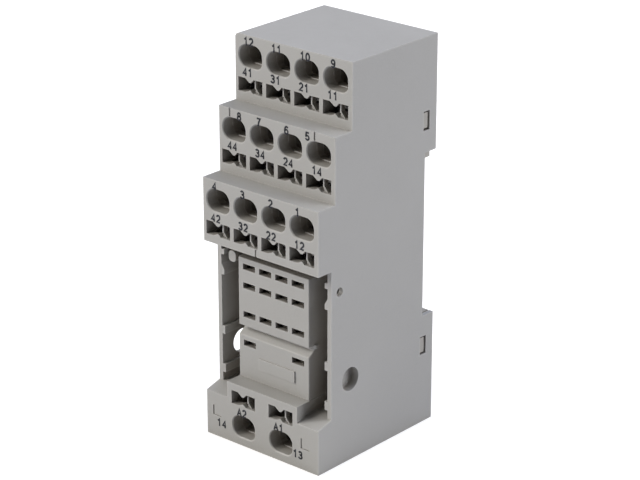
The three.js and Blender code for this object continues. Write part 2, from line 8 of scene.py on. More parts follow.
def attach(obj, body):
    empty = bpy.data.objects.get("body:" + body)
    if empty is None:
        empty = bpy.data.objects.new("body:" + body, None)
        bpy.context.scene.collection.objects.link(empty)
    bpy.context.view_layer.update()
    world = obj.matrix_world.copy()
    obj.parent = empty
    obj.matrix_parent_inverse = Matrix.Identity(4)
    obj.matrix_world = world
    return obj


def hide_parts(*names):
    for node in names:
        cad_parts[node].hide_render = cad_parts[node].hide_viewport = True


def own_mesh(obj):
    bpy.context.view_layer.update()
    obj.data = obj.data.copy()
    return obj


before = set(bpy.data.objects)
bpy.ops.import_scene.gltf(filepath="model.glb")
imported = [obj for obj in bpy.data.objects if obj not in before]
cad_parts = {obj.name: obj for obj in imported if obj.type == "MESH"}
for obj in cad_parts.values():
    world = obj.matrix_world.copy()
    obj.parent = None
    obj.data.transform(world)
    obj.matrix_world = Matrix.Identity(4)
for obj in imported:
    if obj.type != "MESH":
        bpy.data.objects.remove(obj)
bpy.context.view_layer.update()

# ---- Driving dimensions, in millimetres -------------------------------------------------
# Places are (x, depth, z): depth is measured forward from the rear plane.
MM = 0.001
WIDTH = 30.6
HEIGHT = 84.5
DEPTH = 36.2
REAR_Y = DEPTH / 2
INK_ROOM = 0.015
INK_PROUD = 0.012
FRONT = DEPTH - INK_ROOM
GAP = 0.3
REACH = 2.0
MARGIN = 1.0
INNER_X = WIDTH / 2 - 1.0
FOOT_WALL = 1.0
TOP_WALL = 1.1
FRONT_WALL = 1.7
EDGE = 0.3
TOP_LEFT_EDGE = 0.9

TIER_STEP = 13.85
ROWS = [
    {"top": HEIGHT, "front": 26.2, "names": ["41", "31", "21", "11"], "pin_z": 27.6},
    {"top": 70.55, "front": 31.2, "names": ["44", "34", "24", "14"], "pin_z": 33.95},
    {"top": 56.7, "front": FRONT, "names": ["42", "32", "22", "12"], "pin_z": 38.05},
]
CELL_PITCH = 7.45
ROW_SHIFT = -0.17
ROW_X = [column * CELL_PITCH + ROW_SHIFT for column in (-1.5, -0.5, 0.5, 1.5)]
CELL_WALL = 0.8
ENTRY_BELOW_TOP = 4.35
TIER3_UNDER = 43.05
COIL_X = [-5.12, 5.12]
COIL_NAMES = ["a2", "a1"]
COIL_ENTRY_Z = 4.2
COIL_PIN_Z = 21.25
COIL_CELL = 6.6

RIM_WIDTH = 6.45
RIM_HEIGHT = 5.1
RIM_RADII = (2.3, 2.4, 2.45, 1.7)
LIP = 0.2
FLARE = 0.25
FUNNEL_DEPTH = 2.9
THROAT_WIDTH = 5.2
THROAT_HEIGHT = 4.2
THROAT_RADIUS = 0.8
THROAT_SHIFT = 0.33
THROAT_STEP = 0.05
ENTRY_BLOCK = 5.0

TOOL_DROP = 6.13
TOOL_WIDTH = 6.5
TOOL_HEIGHT = 2.95
UPPER_TOOTH = [(0.84, 0), (0.15, 0.8), (-0.31, 0.8), (-1.46, 0)]
LOWER_TOOTH = [(-1.51, 0), (-0.61, 0.27), (-0.14, 0.62), (0.26, 0.37), (0.66, 0)]
RIB_LEFT = 0.75
RIB_RIGHT = 1.03
RIB_FOOT = 1.2
RIB_FRONT = 0.5
RIB_BACK = 1.7
WEB_LEFT = 0.42
WEB_RIGHT = 2.3
WEB_EDGE = 0.2
WEB_FRONT = 0.95

CHAMBER_TOP_W = 3.2
CHAMBER_LOW_W = -8.35
RISER_BACK = 13.6
STRIP = 0.6

BAY_WALL_FRONT = 32.3
BAY_FLOOR = 10.9
FOOT_FRONT_TOP = 9.85
FOOT_BLOCK_BACK = 23.5
BUMP_HALF = 9.55
BUMP_TOP = 13.45
SIDE_POCKET_BACK = 20.0
# Ribs on the bay's walls, as (bottom, top, top of the sloping root).
GUIDE_RIBS = [(39.15, 40.3, 40.3), (34.7, 35.8, 37.55), (21.5, 23.3, 23.3), (12.8, 14.7, 14.7)]
GUIDE_RIB_PROUD = 0.75
GUIDE_RIB_DEPTH = 9
GUIDE_RIB_INSET = 0.02
# Shallow upright lines on the tiers, as (x, bottom, top, row), and corner marks on the foot.
TIER_MARKS = [(-12.4, 68.75, 71, 1), (10.0, 68.75, 71, 1), (-1.2, 42, 44.65, 2)]
TIER_MARK_HALF = 0.23
TIER_MARK_DEPTH = 0.25
FOOT_MARK_X = (-13.4, 10.75)
FOOT_MARK_HALF = 0.2
FOOT_MARK_DEPTH = 0.2
FOOT_MARK_LENGTH = 2.1
FOOT_MARK_UPRIGHT = (4.75, 6.9)
FOOT_MARK_SOLE = (4.65, 4.95)
# Holes in the side walls, as (depth, z, radius). The large one goes through the left wall and is a
# blind recess in the right wall. The small one is in the right wall only.
LARGE_HOLE = (26.45, 18.05, 2.55)
SMALL_HOLE = (29.75, 38.05, 0.95)
CUP_DEPTH = 2.0
CUP_SKIN = 0.8
PLUG_HALF = 9.5
PLUG_FRONT = 32.4
PLUG_BACK = 23.5
PLUG_TOP = 39.9
PLUG_BOTTOM = 13.47
PLUG_SKIN = 1.2
PLUG_WEB = 0.8
PLUG_EDGE = 0.2
# Small shapes on the plug block, as (x0, x1, depth0, depth1, bottom, top).
SIDE_ARM = (-11.95, -PLUG_HALF + 0.9, 28.3, 30.5, 38.35, 39.25)
NUB = (PLUG_HALF - 1, PLUG_HALF + 0.5, 29.8, 30.8, 24.4, 25.3)
LUG_PLACE = (-11.95, 39.0)
LUG_SIZE = (2.0, 2.4)
LUG_RADIUS = 0.8
LUG_DEPTHS = (28, 31.6)
SMALL_EDGE = 0.15
PLATE_X = (-3.9, 5.8)
PLATE_Z = (16.4, 18.9)
PLATE_PROUD = 0.3
PLATE_EDGE = 0.06
PIN_PITCH = 13.15 / 3
PIN_COLUMNS = [-1.5, -0.5, 0.5, 1.5]
SLOT_WIDTH = 3.3
SLOT_HEIGHT = 1.3
SOCKET_WIDTH = 3.7
SOCKET_HEIGHT = 2.6
GROOVE_TOP = 25.0
RAMP_TOP = 24.0
RAMP_FOOT = 22.9
GROOVE_DEPTH = 1.55
RAIL_LOW = 24.3
RAIL_HIGH = 60.1
RAIL_DEPTH = 3.5
COVER_SKIN = 1.5
WINDOWS = [(64.8, 68.9), (15.55, 19.65)]
WINDOW_NEAR = 2.2
WINDOW_FAR = 4.1
CHANNEL_HALF = 6.2
CHANNEL_DEPTH = 3.3
COIL_LOW = 10.27
COIL_HIGH = 19.33
COIL_RADIUS = 1.02
COIL_WIRE = 0.17
COIL_TURNS = 6
COIL_STEPS = 24
WIRE_SIDES = 12

# ---- Camera -----------------------------------------------------------------------------
CAMERA_PLACE = (0.30002, -0.34514, 0.22308)
CAMERA_AZIMUTH = math.radians(41.0)
CAMERA_ELEVATION = math.radians(21.644)
LENS = 135.9

camera_data = bpy.data.cameras.new("camera")
camera = bpy.data.objects.new("camera", camera_data)
bpy.context.scene.collection.objects.link(camera)
bpy.context.scene.camera = camera
camera_data.lens = LENS
camera_data.sensor_width = 36.0
camera_data.clip_start = 0.01
camera_data.clip_end = 20.0
away = Vector((
    math.sin(CAMERA_AZIMUTH) * math.cos(CAMERA_ELEVATION),
    -math.cos(CAMERA_AZIMUTH) * math.cos(CAMERA_ELEVATION),
    math.sin(CAMERA_ELEVATION),
))
camera.rotation_mode = "QUATERNION"
camera.rotation_quaternion = (-away).to_track_quat("-Z", "Y")
camera.location = CAMERA_PLACE


# ---- Solids in mesh code, made in millimetres -------------------------------------------
def place(x, depth, z):
    return Vector((x, REAR_Y - depth, z))


def linked(name, mesh):
    piece = bpy.data.objects.new(name, mesh)
    bpy.context.scene.collection.objects.link(piece)
    return piece


def loft(rings, name="solid"):
    """A closed solid through rings of equally many points."""
    bm = bmesh.new()
    loops = [[bm.verts.new(point) for point in ring] for ring in rings]
    count = len(rings[0])
    for near, far in zip(loops, loops[1:]):
        for i in range(count):
            j = (i + 1) % count
            bm.faces.new((near[i], near[j], far[j], far[i]))
    bm.faces.new(loops[0])
    bm.faces.new(loops[-1])
    bmesh.ops.recalc_face_normals(bm, faces=bm.faces)
    mesh = bpy.data.meshes.new(name)
    bm.to_mesh(mesh)
    bm.free()
    return linked(name, mesh)


def across(points, x0, x1):
    """A side outline of (depth, z) points, carried from x0 to x1."""
    return loft([[place(x, depth, z) for depth, z in points] for x in (x0, x1)])


def forward(points, depth0, depth1):
    """A front outline of (x, z) points, carried from depth0 to depth1."""
    return loft([[place(x, depth, z) for x, z in points] for depth in (depth0, depth1)])


def block(x0, x1, depth0, depth1, z0, z1):
    left, right = min(x0, x1), max(x0, x1)
    return forward([(left, z0), (right, z0), (right, z1), (left, z1)], depth0, depth1)


def rounded(x, z, width, height, radii, steps=8):
    """Points of a rectangle with round corners, on (x, z), from the upper right corner on."""
    points = []
    for corner, (side, up) in enumerate([(1, 1), (-1, 1), (-1, -1), (1, -1)]):
        radius = radii[corner]
        cx = x + side * (width / 2 - radius)
        cz = z + up * (height / 2 - radius)
        for i in range(steps + 1):
            angle = math.radians(90 * (corner + i / steps))
            points.append((cx + radius * math.cos(angle), cz + radius * math.sin(angle)))
    return points


def side_bore(x0, x1, depth, z, radius, count=40):
    """A round rod along X."""
    turn = [2 * math.pi * i / count for i in range(count)]
    circle = [(depth + radius * math.cos(angle), z + radius * math.sin(angle)) for angle in turn]
    return across(circle, x0, x1)


SHARP = math.radians(30)


def baked(piece):
    """The piece's mesh with its modifiers in it."""
    bpy.context.view_layer.update()
    graph = bpy.context.evaluated_depsgraph_get()
    mesh = bpy.data.meshes.new_from_object(piece.evaluated_get(graph))
    piece.modifiers.clear()
    old = piece.data
    piece.data = mesh
    bpy.data.meshes.remove(old)
    return piece


def combine(base, tools, operation):
    """Joins the tools to the base, or cuts them from it, and removes them."""
    group = bpy.data.collections.new("tools")
    bpy.context.scene.collection.children.link(group)
    for tool in tools:
        bpy.context.scene.collection.objects.unlink(tool)
        group.objects.link(tool)
    step = base.modifiers.new("combine", "BOOLEAN")
    step.operand_type = "COLLECTION"
    step.collection = group
    step.operation = operation
    step.solver = "MANIFOLD"
    baked(base)
    for tool in tools:
        bpy.data.objects.remove(tool)
    bpy.data.collections.remove(group)
    return base


def cleaned(piece, angle=0.5):
    """Coplanar faces and collinear edges joined."""
    bm = bmesh.new()
    bm.from_mesh(piece.data)
    bmesh.ops.remove_doubles(bm, verts=bm.verts, dist=0.002)
    bmesh.ops.dissolve_limit(
        bm, angle_limit=math.radians(angle), use_dissolve_boundaries=False,
        verts=bm.verts, edges=bm.edges,
    )
    bm.to_mesh(piece.data)
    bm.free()
    return piece


def softened(piece, width, segments=3, chosen=None):
    """Outward edges rounded: the sharp ones, or only those that are chosen."""
    bm = bmesh.new()
    bm.from_mesh(piece.data)
    weight = bm.edges.layers.float.new("bevel_weight_edge")
    for edge in bm.edges:
        sharp = edge.is_manifold and edge.is_convex and edge.calc_face_angle() > SHARP
        if sharp and (chosen is None or chosen(edge)):
            edge[weight] = 1.0
    bm.to_mesh(piece.data)
    bm.free()
    step = piece.modifiers.new("soften", "BEVEL")
    step.width = width
    step.segments = segments
    step.limit_method = "WEIGHT"
    step.use_clamp_overlap = True
    return baked(piece)


def shaded(piece, angle=35):
    """Smooth across shallow edges, sharp across the rest, flat faces kept flat."""
    piece.data.shade_smooth()
    piece.data.set_sharp_from_angle(angle=math.radians(angle))
    step = piece.modifiers.new("flat_faces", "WEIGHTED_NORMAL")
    step.keep_sharp = True
    step.weight = 100
    return piece


def finished(piece, name, body, material, nodes=()):
    """From millimetres to the frame's metres, on its body, with its material."""
    piece.data.transform(Matrix.Scale(MM, 4))
    piece.name = name
    piece.data.name = name
    piece.data.materials.clear()
    piece.data.materials.append(material)
    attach(piece, body)
    if nodes:
        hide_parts(*nodes)
    return piece


# ---- Terminals --------------------------------------------------------------------------
def terminal_list():
    found = []
    for row in ROWS:
        for column, name in enumerate(row["names"]):
            found.append({
                "name": name, "x": ROW_X[column], "z": row["top"] - ENTRY_BELOW_TOP, "up": 1,
                "front": row["front"], "pin_x": PIN_COLUMNS[column] * PIN_PITCH, "pin_z": row["pin_z"],
            })
    for side, name in enumerate(COIL_NAMES):
        found.append({
            "name": name, "x": COIL_X[side], "z": COIL_ENTRY_Z, "up": -1, "front": FRONT,
            "pin_x": PIN_COLUMNS[side * 3] * PIN_PITCH, "pin_z": COIL_PIN_Z,
        })
    return found


TERMINALS = terminal_list()


def at_w(terminal, w):
    return terminal["z"] + terminal["up"] * w


def wire_entry(terminal):
    x, z, front = terminal["x"], terminal["z"], terminal["front"]

    def ring(depth, shrink):
        radii = [radius - shrink for radius in RIM_RADII]
        outline = rounded(x, z, RIM_WIDTH - 2 * shrink, RIM_HEIGHT - 2 * shrink, radii)
        return [place(px, depth, pz) for px, pz in outline]

    def throat(depth):
        outline = rounded(x - THROAT_SHIFT, z, THROAT_WIDTH, THROAT_HEIGHT, [THROAT_RADIUS] * 4)
        return [place(px, depth, pz) for px, pz in outline]

    return loft([
        ring(front + REACH, 0), ring(front, 0), ring(front - LIP, LIP), ring(front - FUNNEL_DEPTH, FLARE),
        throat(front - FUNNEL_DEPTH - THROAT_STEP), throat(front - ENTRY_BLOCK - REACH),
    ])


def tool_slot_edges(terminal):
    """Heights of the slot's bottom and top edges."""
    middle = terminal["z"] - terminal["up"] * TOOL_DROP
    return middle - TOOL_HEIGHT / 2, middle + TOOL_HEIGHT / 2


def tool_slot(terminal):
    x, front = terminal["x"], terminal["front"]
    low, high = tool_slot_edges(terminal)
    half = TOOL_WIDTH / 2
    outline = [(x - half, low)] + [(x + u, low + rise) for u, rise in LOWER_TOOTH]
    outline += [(x + half, low), (x + half, high)]
    outline += [(x + u, high - drop) for u, drop in UPPER_TOOTH] + [(x - half, high)]
    return forward(outline, front - FRONT_WALL - REACH, front + REACH)


def tool_rib(terminal):
    """The thin rib, the web that it widens into, and the leg along the web's right edge."""
    x, front = terminal["x"], terminal["front"]
    low, high = tool_slot_edges(terminal)
    left, right = x + RIB_LEFT, x + RIB_RIGHT
    foot = low + RIB_FOOT
    back = front - RIB_BACK
    sole = low - GAP
    web = [(x + WEB_LEFT, sole), (x + WEB_RIGHT, sole), (right, foot), (left, foot)]
    leg = [(x + WEB_RIGHT - WEB_EDGE, sole), (x + WEB_RIGHT, sole), (right, foot), (right - WEB_EDGE, foot)]
    return [
        block(left, right, back, front - RIB_FRONT, foot - GAP, high + GAP),
        forward(web, back, front - WEB_FRONT),
        forward(leg, back, front - RIB_FRONT),
    ]


def cell(terminal):
    half = (CELL_PITCH - CELL_WALL if terminal["up"] > 0 else COIL_CELL) / 2
    x0 = max(terminal["x"] - half, -INNER_X)
    x1 = min(terminal["x"] + half, INNER_X)
    front = terminal["front"]
    back = front - RISER_BACK - REACH / 2
    low, under, high = [at_w(terminal, w) for w in (CHAMBER_LOW_W, -RIM_HEIGHT / 2 - GAP, CHAMBER_TOP_W)]
    return [
        block(x0, x1, back, front - FRONT_WALL, min(low, under), max(low, under)),
        block(x0, x1, back, front - ENTRY_BLOCK, min(under, high), max(under, high)),
    ]


# ---- Housing ----------------------------------------------------------------------------
def housing_outline():
    points = [(0, 0), (0, HEIGHT)]
    unders = [ROWS[1]["top"], ROWS[2]["top"], TIER3_UNDER]
    for row, under in zip(ROWS, unders):
        points += [(row["front"], row["top"]), (row["front"], under)]
    points += [(BAY_WALL_FRONT, TIER3_UNDER), (BAY_WALL_FRONT, BAY_FLOOR)]
    points += [(FRONT, FOOT_FRONT_TOP), (FRONT, 0)]
    return points


def guide_ribs():
    ribs = []
    front = BAY_WALL_FRONT - GUIDE_RIB_INSET
    for side in (-1, 1):
        for low, high, root in GUIDE_RIBS:
            wall = side * (INNER_X + GAP)
            tip = side * (INNER_X - GUIDE_RIB_PROUD)
            outline = [(wall, low), (tip, low), (tip, high), (wall, root)]
            ribs.append(forward(outline, BAY_WALL_FRONT - GUIDE_RIB_DEPTH, front))
    return ribs


def face_marks():
    """Shallow moulded lines: upright ones on the tiers, and a corner on each side of the foot."""
    marks = []
    for x, low, high, row in TIER_MARKS:
        front = ROWS[row]["front"]
        left, right = x - TIER_MARK_HALF, x + TIER_MARK_HALF
        marks.append(block(left, right, front - TIER_MARK_DEPTH, front + MARGIN, low, high))
    back = FRONT - FOOT_MARK_DEPTH
    for x in FOOT_MARK_X:
        left, right = x - FOOT_MARK_HALF, x + FOOT_MARK_HALF
        marks.append(block(left, right, back, FRONT + MARGIN, *FOOT_MARK_UPRIGHT))
        marks.append(block(left, x + FOOT_MARK_LENGTH, back, FRONT + MARGIN, *FOOT_MARK_SOLE))
    return marks


def interior():
    """The hollow behind the cells, in blocks, open at the back."""
    hollow = []
    for row in ROWS:
        back = row["front"] - RISER_BACK + STRIP + GAP
        low = row["top"] - TIER_STEP - TOP_WALL if row is not ROWS[2] else TIER3_UNDER
        hollow.append((back, low, row["top"] - TOP_WALL))
    points = [(-REACH, FOOT_WALL), (-REACH, HEIGHT - TOP_WALL)]
    for back, low, high in hollow:
        points += [(back, high), (back, low)]
    points += [(PLUG_BACK, TIER3_UNDER), (PLUG_BACK, FOOT_WALL)]
    return across(points, -INNER_X, INNER_X)


def is_top_left(edge):
    return all(vert.co.z > HEIGHT - GAP and vert.co.x < -WIDTH / 2 + GAP for vert in edge.verts)


def make_housing():
    body = across(housing_outline(), -WIDTH / 2, WIDTH / 2)
    bay = block(-INNER_X, INNER_X, RAIL_DEPTH + REACH, DEPTH + REACH, BAY_FLOOR, TIER3_UNDER)
    body = combine(body, [bay], "DIFFERENCE")
    bump = block(-BUMP_HALF, BUMP_HALF, FOOT_BLOCK_BACK, FRONT, FOOT_WALL, BUMP_TOP)
    body = combine(body, [bump], "UNION")
    rail = block(-WIDTH, WIDTH, -REACH, RAIL_DEPTH, RAIL_LOW, RAIL_HIGH)
    body = cleaned(combine(body, [rail], "DIFFERENCE"))
    body = softened(body, TOP_LEFT_EDGE, segments=6, chosen=is_top_left)
    body = softened(body, EDGE)
    depth, z, radius = LARGE_HOLE
    cup = side_bore(WIDTH / 2 - CUP_DEPTH - CUP_SKIN, INNER_X + GAP, depth, z, radius + CUP_SKIN)
    body = combine(body, guide_ribs() + [cup], "UNION")
    tools = [interior()] + face_marks()
    tools.append(block(-CHANNEL_HALF, CHANNEL_HALF, -REACH, CHANNEL_DEPTH + GAP, -REACH, FOOT_WALL * 2))
    for side in (-1, 1):
        near = side * (BUMP_HALF + GAP)
        tools.append(block(
            near, side * INNER_X, SIDE_POCKET_BACK, FRONT - FRONT_WALL, FOOT_WALL, FOOT_FRONT_TOP - FOOT_WALL,
        ))
        for low, high in WINDOWS:
            tools.append(block(side * (INNER_X - REACH), side * WIDTH, WINDOW_NEAR, WINDOW_FAR, low, high))
    tools.append(side_bore(-WIDTH, -INNER_X + REACH, *LARGE_HOLE))
    tools.append(side_bore(WIDTH / 2 - CUP_DEPTH, WIDTH, *LARGE_HOLE))
    tools.append(side_bore(INNER_X - REACH, WIDTH, *SMALL_HOLE))
    for terminal in TERMINALS:
        tools += cell(terminal) + [wire_entry(terminal), tool_slot(terminal)]
    body = combine(body, tools, "DIFFERENCE")
    return combine(body, [part for terminal in TERMINALS for part in tool_rib(terminal)], "UNION")


# ---- Contact carrier --------------------------------------------------------------------
def is_above_foot(edge):
    return any(vert.co.z > PLUG_BOTTOM + GAP for vert in edge.verts)


def make_carrier():
    groove = PLUG_FRONT - GROOVE_DEPTH
    outline = [
        (PLUG_BACK, PLUG_BOTTOM), (PLUG_BACK, PLUG_TOP), (PLUG_FRONT, PLUG_TOP),
        (PLUG_FRONT, GROOVE_TOP), (groove, GROOVE_TOP), (groove, RAMP_TOP),
        (PLUG_FRONT, RAMP_FOOT), (PLUG_FRONT, PLUG_BOTTOM),
    ]
    body = softened(across(outline, -PLUG_HALF, PLUG_HALF), PLUG_EDGE, chosen=is_above_foot)
    extras = []
    for side in (-1, 1):
        extras.append(block(
            side * PLUG_HALF, side * (PLUG_HALF - PLUG_WEB), RAIL_DEPTH + COVER_SKIN + GAP,
            PLUG_BACK + MARGIN, PLUG_BOTTOM, PLUG_TOP,
        ))
    extras.append(block(*SIDE_ARM))
    lug = forward(rounded(*LUG_PLACE, *LUG_SIZE, [LUG_RADIUS] * 4), *LUG_DEPTHS)
    plate = block(*PLATE_X, PLUG_FRONT - MARGIN, PLUG_FRONT + PLATE_PROUD, *PLATE_Z)
    extras.append(softened(lug, SMALL_EDGE, segments=2))
    extras.append(softened(block(*NUB), SMALL_EDGE, segments=2))
    extras.append(softened(plate, PLATE_EDGE, segments=2))
    body = combine(body, extras, "UNION")
    tools = []
    for terminal in TERMINALS:
        x, z = terminal["pin_x"], terminal["pin_z"]
        tools.append(block(
            x - SOCKET_WIDTH / 2, x + SOCKET_WIDTH / 2, PLUG_BACK - MARGIN, PLUG_FRONT - PLUG_SKIN,
            z - SOCKET_HEIGHT / 2, z + SOCKET_HEIGHT / 2,
        ))
        tools.append(block(
            x - SLOT_WIDTH / 2, x + SLOT_WIDTH / 2, PLUG_BACK, PLUG_FRONT + MARGIN,
            z - SLOT_HEIGHT / 2, z + SLOT_HEIGHT / 2,
        ))
    return combine(body, tools, "DIFFERENCE")


# ---- Latch spring -----------------------------------------------------------------------
def make_latch_spring():
    """A round wire wound along Z, in rings that stand square to its helix."""
    centre = place(0, (GAP + CHANNEL_DEPTH) / 2, COIL_LOW)
    rise = (COIL_HIGH - COIL_LOW) / (2 * math.pi * COIL_TURNS)
    rings = []
    for i in range(COIL_TURNS * COIL_STEPS + 1):
        turn = 2 * math.pi * i / COIL_STEPS
        out = Vector((math.cos(turn), math.sin(turn), 0))
        along = Vector((-out.y * COIL_RADIUS, out.x * COIL_RADIUS, rise)).normalized()
        up = out.cross(along)
        middle = centre + out * COIL_RADIUS + Vector((0, 0, rise * turn))
        angles = [2 * math.pi * side / WIRE_SIDES for side in range(WIRE_SIDES)]
        rings.append([middle + (out * math.cos(a) + up * math.sin(a)) * COIL_WIRE for a in angles])
    return loft(rings, "coil")


# ---- Terminal numerals ------------------------------------------------------------------
# Each glyph is a list of strokes on a field 1 high, as (points, closed).
NUMERAL_HEIGHT = 1.75
STROKE = 0.23
ADVANCE = 0.8


def bow(cx, cz, rx, rz, start, end, count=12):
    """Points of an elliptical arc, angles in degrees."""
    angles = [math.radians(start + (end - start) * i / count) for i in range(count + 1)]
    return [(cx + rx * math.cos(angle), cz + rz * math.sin(angle)) for angle in angles]


def oval(cx, cz, rx, rz):
    return bow(cx, cz, rx, rz, 0, 360, 18)[:-1]


GLYPHS = {
    "0": [(oval(0.30, 0.5, 0.24, 0.42), True)],
    "1": [([(0.08, 0.68), (0.20, 0.75), (0.34, 0.92), (0.34, 0.0)], False)],
    "2": [(bow(0.30, 0.66, 0.23, 0.26, 170, -35) + [(0.07, 0.08), (0.56, 0.08)], False)],
    "3": [(bow(0.28, 0.71, 0.21, 0.21, 165, -80) + bow(0.28, 0.30, 0.25, 0.22, 85, -165), False)],
    "4": [([(0.56, 0.28), (0.05, 0.28), (0.43, 0.90), (0.43, 0.0)], False)],
    "5": [([(0.53, 0.92), (0.15, 0.92), (0.09, 0.50)] + bow(0.29, 0.33, 0.25, 0.25, 140, -160), False)],
    "6": [(oval(0.30, 0.32, 0.23, 0.24), True), (bow(0.33, 0.42, 0.26, 0.50, 45, 180), False)],
    "7": [([(0.05, 0.92), (0.55, 0.92), (0.34, 0.50), (0.24, 0.0)], False)],
    "8": [(oval(0.30, 0.72, 0.19, 0.20), True), (oval(0.30, 0.30, 0.24, 0.22), True)],
    "9": [(oval(0.30, 0.68, 0.23, 0.24), True), (bow(0.27, 0.58, 0.26, 0.50, 225, 360), False)],
    "A": [([(0.02, 0.0), (0.31, 0.90), (0.60, 0.0)], False), ([(0.12, 0.32), (0.50, 0.32)], False)],
}


def band(points, closed, width):
    """The two sides of a stroke along the points, mitred at its bends."""
    count = len(points)
    left, right = [], []
    for i, point in enumerate(points):
        here = Vector(point)
        before = here - Vector(points[i - 1]) if closed or i > 0 else None
        after = Vector(points[(i + 1) % count]) - here if closed or i < count - 1 else None
        ways = [way.normalized() for way in (before, after) if way is not None]
        along = sum(ways, Vector((0, 0))).normalized()
        half = width / 2 / max(along.dot(ways[0]), 0.6)
        side = Vector((-along.y, along.x)) * half
        left.append(here + side)
        right.append(here - side)
    return left, right


def glyph_stroke(points, closed, to_face):
    """A thin slab of ink along one stroke."""
    left, right = band(points, closed, STROKE)
    bm = bmesh.new()
    rails = [[bm.verts.new(to_face(point, depth)) for point in side]
             for side, depth in ((left, 1), (right, 1), (right, 0), (left, 0))]
    count = len(points)
    for i in range(count if closed else count - 1):
        j = (i + 1) % count
        for first, second in zip(rails, rails[1:] + rails[:1]):
            bm.faces.new((first[i], first[j], second[j], second[i]))
    if not closed:
        for end in (0, count - 1):
            bm.faces.new([rail[end] for rail in rails])
    bmesh.ops.recalc_face_normals(bm, faces=bm.faces)
    mesh = bpy.data.meshes.new("stroke")
    bm.to_mesh(mesh)
    bm.free()
    return linked("stroke", mesh)


def numeral(text, x, z, front):
    """Thin printed figures, their middle at (x, z) on a face."""
    strokes = []
    start = x - len(text) * ADVANCE * NUMERAL_HEIGHT / 2
    for index, character in enumerate(text):
        left = start + index * ADVANCE * NUMERAL_HEIGHT

        def to_face(point, share, left=left):
            return place(
                left + point[0] * NUMERAL_HEIGHT, front + share * INK_PROUD,
                z + (point[1] - 0.5) * NUMERAL_HEIGHT,
            )

        strokes += [glyph_stroke(points, closed, to_face) for points, closed in GLYPHS[character]]
    return strokes


def join(pieces):
    bm = bmesh.new()
    for piece in pieces:
        bm.from_mesh(piece.data)
    mesh = bpy.data.meshes.new("joined")
    bm.to_mesh(mesh)
    bm.free()
    for piece in pieces:
        bpy.data.objects.remove(piece)
    return linked("joined", mesh)


# ---- Materials --------------------------------------------------------------------------
def new_material(name):
    material = bpy.data.materials.new(name)
    material.use_nodes = True
    tree = material.node_tree
    tree.nodes.clear()
    output = tree.nodes.new("ShaderNodeOutputMaterial")
    shader = tree.nodes.new("ShaderNodeBsdfPrincipled")
    tree.links.new(shader.outputs[0], output.inputs[0])
    coordinate = tree.nodes.new("ShaderNodeTexCoord")
    return material, tree, shader, coordinate.outputs["Object"]


def noise(tree, place_socket, scale, detail=2.0, rough=0.5):
    node = tree.nodes.new("ShaderNodeTexNoise")
    node.inputs["Scale"].default_value = scale
    node.inputs["Detail"].default_value = detail
    node.inputs["Roughness"].default_value = rough
    tree.links.new(place_socket, node.inputs["Vector"])
    return node.outputs["Fac"]


def mapped(tree, value, low, high, from_low=0.3, from_high=0.7):
    node = tree.nodes.new("ShaderNodeMapRange")
    node.inputs["From Min"].default_value = from_low
    node.inputs["From Max"].default_value = from_high
    node.inputs["To Min"].default_value = low
    node.inputs["To Max"].default_value = high
    tree.links.new(value, node.inputs["Value"])
    return node.outputs["Result"]


def mixed(tree, share, first, second, kind="MIX"):
    node = tree.nodes.new("ShaderNodeMix")
    node.data_type = "RGBA"
    node.blend_type = kind
    for socket, value in ((node.inputs[0], share), (node.inputs[6], first), (node.inputs[7], second)):
        if isinstance(value, bpy.types.NodeSocket):
            tree.links.new(value, socket)
        else:
            socket.default_value = value
    return node.outputs[2]


def bump(tree, height, distance, strength, under=None):
    node = tree.nodes.new("ShaderNodeBump")
    node.inputs["Strength"].default_value = strength
    node.inputs["Distance"].default_value = distance
    tree.links.new(height, node.inputs["Height"])
    if under is not None:
        tree.links.new(under, node.inputs["Normal"])
    return node.outputs["Normal"]


# The turn between rounded and flat normals, as cosines, over which a face counts as an edge.
EDGE_COSINES = (0.9, 0.998)


def edge_share(tree, radius):
    """1 on edges, 0 on flat faces."""
    soft = tree.nodes.new("ShaderNodeBevel")
    soft.samples = 4
    soft.inputs["Radius"].default_value = radius
    flat = tree.nodes.new("ShaderNodeNewGeometry")
    dot = tree.nodes.new("ShaderNodeVectorMath")
    dot.operation = "DOT_PRODUCT"
    tree.links.new(soft.outputs[0], dot.inputs[0])
    tree.links.new(flat.outputs["True Normal"], dot.inputs[1])
    return mapped(tree, dot.outputs["Value"], 1.0, 0.0, *EDGE_COSINES)


def shade_share(tree, distance):
    """Ambient occlusion, 1 in the open and 0 in deep hollows, used as the mask for painted shade."""
    node = tree.nodes.new("ShaderNodeAmbientOcclusion")
    node.samples = 6
    node.inputs["Distance"].default_value = distance
    return node.outputs["AO"]


def tone(colour, factor):
    return (colour[0] * factor, colour[1] * factor, colour[2] * factor, 1.0)


# Painted shade in hollows: the reach of a hollow's walls in metres, and the tint that darkens the colour deep
# inside, where shade falls.
PAINTED_SHADE_TINTS = [(0.0038, (0.20, 0.155, 0.12, 1.0)), (0.012, (0.62, 0.565, 0.50, 1.0))]
PAINTED_SHADE_OPENNESS = (0.08, 0.46)

# Noise scales are per metre. Tones multiply a material's own colour.
CLOUD_SCALE = 55.0
CLOUD_TONES = (0.965, 1.03)
SPECK_SCALE = 2600.0
SPECK_TONE = 1.02
# Painted highlight along plastic edges: its reach in metres, its greatest share and its tone.
EDGE_HIGHLIGHT_RADIUS = 0.0006
EDGE_HIGHLIGHT_SHARE = 0.55
EDGE_HIGHLIGHT_TONE = 1.28
POLISH_SCALE = 420.0
POLISH_SPREAD = (-0.05, 0.06)
GRAIN_SCALE = 5200.0
GRAIN_HEIGHT = 0.00003
GRAIN_STRENGTH = 0.35
RIPPLE_SCALE = 260.0
RIPPLE_HEIGHT = 0.00012
RIPPLE_STRENGTH = 0.12
PLASTIC_IOR = 1.5


